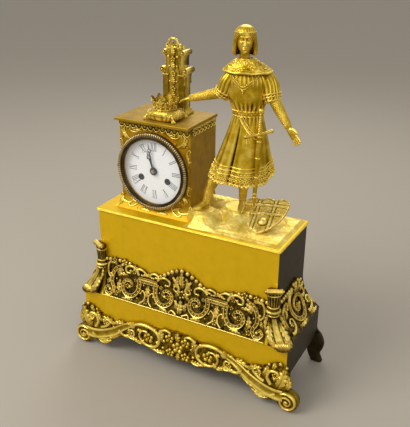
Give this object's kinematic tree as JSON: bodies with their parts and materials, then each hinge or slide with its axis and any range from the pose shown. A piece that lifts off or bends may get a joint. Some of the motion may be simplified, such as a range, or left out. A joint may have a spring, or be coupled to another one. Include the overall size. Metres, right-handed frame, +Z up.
{
  "type": "figural mantel clock",
  "caption": "Gilt bronze figural mantel clock: a standing figure in tunic and cape beside a square clock case with cushion and crown, on a rocaille base with scroll feet",
  "frame": {"origin": "centre of the footprint at the level of the table", "axes": "X to the viewer's right along the front, Y to the back, Z up"},
  "size_m": [0.325, 0.1249, 0.434],
  "materials": {
    "gilt_bronze": "satin fire-gilt casting, darker in the recesses",
    "part_gilt_bronze": "matt gilt front, dark brown patina on the sides and back",
    "dark_bronze": "dark brown patina, satin",
    "pale_gilt_bronze": "pale worn gilding, dark along the seams",
    "enamel": "white fired enamel, glossy",
    "glass": "clear",
    "movement_brass": "polished",
    "bell_metal": "turned, dull",
    "steel": "polished",
    "blued_steel": "heat blued, nearly black"
  },
  "bodies": {
    "clock": {"front_apron": "gilt_bronze", "frieze_front": "gilt_bronze", "side_friezes": "gilt_bronze", "corner_mount_left": "gilt_bronze", "corner_mount_right": "gilt_bronze", "top_slab": "gilt_bronze", "ground": "gilt_bronze", "case_top_plate": "gilt_bronze", "valance": "gilt_bronze", "spandrels": "gilt_bronze", "throne": "gilt_bronze", "cushion": "gilt_bronze", "crown": "gilt_bronze", "tunic": "gilt_bronze", "head": "gilt_bronze", "right_arm": "gilt_bronze", "left_arm": "gilt_bronze", "right_leg": "gilt_bronze", "left_leg": "gilt_bronze", "sword": "gilt_bronze", "dial_ring": "gilt_bronze", "lower_plinth": "part_gilt_bronze", "ogee_body": "part_gilt_bronze", "upper_box": "part_gilt_bronze", "case_body": "part_gilt_bronze", "rear_feet": "dark_bronze", "shield": "pale_gilt_bronze", "dial": "enamel", "front_plate": "movement_brass", "back_plate": "movement_brass", "pillars": "movement_brass", "bell_stand": "movement_brass", "suspension_cock": "movement_brass", "bell": "bell_metal", "fixing_bolts": "steel", "hinge_pins": "steel"},
    "bezel_door": {"front_bezel": "gilt_bronze", "dial_glass": "glass"},
    "back_door": {"rear_door": "dark_bronze"},
    "minute": {"minute_hand": "blued_steel", "cannon_pinion": "steel"},
    "hour": {"hour_hand": "blued_steel", "hour_wheel": "movement_brass"},
    "motion": {"minute_wheel": "movement_brass"},
    "going_drum": {"going_barrel": "movement_brass"},
    "going_winder": {"going_arbor": "steel"},
    "intermediate": {"intermediate_wheel": "movement_brass"},
    "centre": {"centre_wheel": "movement_brass"},
    "third": {"third_wheel": "movement_brass"},
    "escape": {"escape_wheel": "movement_brass"},
    "pallets": {"anchor": "steel"},
    "swing": {"pendulum": "movement_brass"},
    "strike_drum": {"strike_barrel": "movement_brass"},
    "strike_winder": {"strike_arbor": "steel"},
    "pins": {"pin_wheel": "movement_brass"},
    "stop": {"stop_wheel": "movement_brass"},
    "vane": {"fly": "steel"},
    "count": {"count_wheel": "movement_brass"},
    "striker": {"hammer": "steel"}
  },
  "joints": [
    {"name": "bezel_open", "type": "hinge", "parent": "clock", "child": "bezel_door", "pos_m": [-0.1014, -0.023, 0.2572], "axis": [0, 0, -1], "range_deg": [0, 110]},
    {"name": "back_door_open", "type": "hinge", "parent": "clock", "child": "back_door", "pos_m": [-0.0125, 0.0453, 0.2572], "axis": [0, 0, -1], "range_deg": [0, 110]},
    {"name": "minute_turn", "type": "hinge", "parent": "clock", "child": "minute", "pos_m": [-0.0515, -0.024, 0.2572], "axis": [0, 1, 0], "continuous": true},
    {"name": "motion_turn", "type": "hinge", "parent": "clock", "child": "motion", "pos_m": [-0.0515, -0.015, 0.2452], "axis": [0, 1, 0], "continuous": true},
    {"name": "hour_turn", "type": "hinge", "parent": "clock", "child": "hour", "pos_m": [-0.0515, -0.022, 0.2572], "axis": [0, 1, 0], "continuous": true},
    {"name": "escape_turn", "type": "hinge", "parent": "clock", "child": "escape", "pos_m": [-0.0515, 0.002, 0.2802], "axis": [0, 1, 0], "continuous": true},
    {"name": "third_turn", "type": "hinge", "parent": "clock", "child": "third", "pos_m": [-0.05629, 0.002, 0.27036], "axis": [0, 1, 0], "continuous": true},
    {"name": "centre_turn", "type": "hinge", "parent": "clock", "child": "centre", "pos_m": [-0.0515, 0.002, 0.2572], "axis": [0, 1, 0], "continuous": true},
    {"name": "intermediate_turn", "type": "hinge", "parent": "clock", "child": "intermediate", "pos_m": [-0.03644, 0.002, 0.2662], "axis": [0, 1, 0], "continuous": true},
    {"name": "going_drum_turn", "type": "hinge", "parent": "clock", "child": "going_drum", "pos_m": [-0.033, 0, 0.2467], "axis": [0, 1, 0], "continuous": true},
    {"name": "going_wind", "type": "hinge", "parent": "clock", "child": "going_winder", "pos_m": [-0.033, -0.01, 0.2467], "axis": [0, 1, 0], "continuous": true},
    {"name": "pendulum_swing", "type": "hinge", "parent": "clock", "child": "swing", "pos_m": [-0.0515, 0.0243, 0.29159], "axis": [0, 1, 0], "range_deg": [-4, 4]},
    {"name": "anchor_rock", "type": "hinge", "parent": "clock", "child": "pallets", "pos_m": [-0.0515, 0.004, 0.29159], "axis": [0, 1, 0], "range_deg": [-4, 4]},
    {"name": "fly_turn", "type": "hinge", "parent": "clock", "child": "vane", "pos_m": [-0.07386, 0.004, 0.28323], "axis": [0, 1, 0], "continuous": true},
    {"name": "stop_turn", "type": "hinge", "parent": "clock", "child": "stop", "pos_m": [-0.06561, 0.004, 0.27847], "axis": [0, 1, 0], "continuous": true},
    {"name": "pin_turn", "type": "hinge", "parent": "clock", "child": "pins", "pos_m": [-0.07165, 0.004, 0.26553], "axis": [0, 1, 0], "continuous": true},
    {"name": "strike_drum_turn", "type": "hinge", "parent": "clock", "child": "strike_drum", "pos_m": [-0.07, 0, 0.2467], "axis": [0, 1, 0], "continuous": true},
    {"name": "count_turn", "type": "hinge", "parent": "clock", "child": "count", "pos_m": [-0.0785, 0.02, 0.2572], "axis": [0, 1, 0], "continuous": true},
    {"name": "strike_wind", "type": "hinge", "parent": "clock", "child": "strike_winder", "pos_m": [-0.07, -0.01, 0.2467], "axis": [0, 1, 0], "continuous": true},
    {"name": "hammer_lift", "type": "hinge", "parent": "clock", "child": "striker", "pos_m": [-0.0845, 0.0287, 0.2412], "axis": [0, -1, 0], "range_deg": [0, 12], "stiffness_Nm_per_rad": 0.004}
  ],
  "couplings": [
    {"joint": "motion_turn", "follows": "minute_turn", "ratio": -0.33333},
    {"joint": "hour_turn", "follows": "minute_turn", "ratio": 0.083333},
    {"joint": "third_turn", "follows": "escape_turn", "ratio": -0.075},
    {"joint": "centre_turn", "follows": "escape_turn", "ratio": 0.0075},
    {"joint": "intermediate_turn", "follows": "escape_turn", "ratio": -0.0011719},
    {"joint": "going_drum_turn", "follows": "escape_turn", "ratio": 0.00026042},
    {"joint": "anchor_rock", "follows": "pendulum_swing", "ratio": 1},
    {"joint": "stop_turn", "follows": "fly_turn", "ratio": -0.16667},
    {"joint": "pin_turn", "follows": "fly_turn", "ratio": 0.022222},
    {"joint": "strike_drum_turn", "follows": "fly_turn", "ratio": -0.0037037},
    {"joint": "count_turn", "follows": "fly_turn", "ratio": 0.0024691}
  ]
}
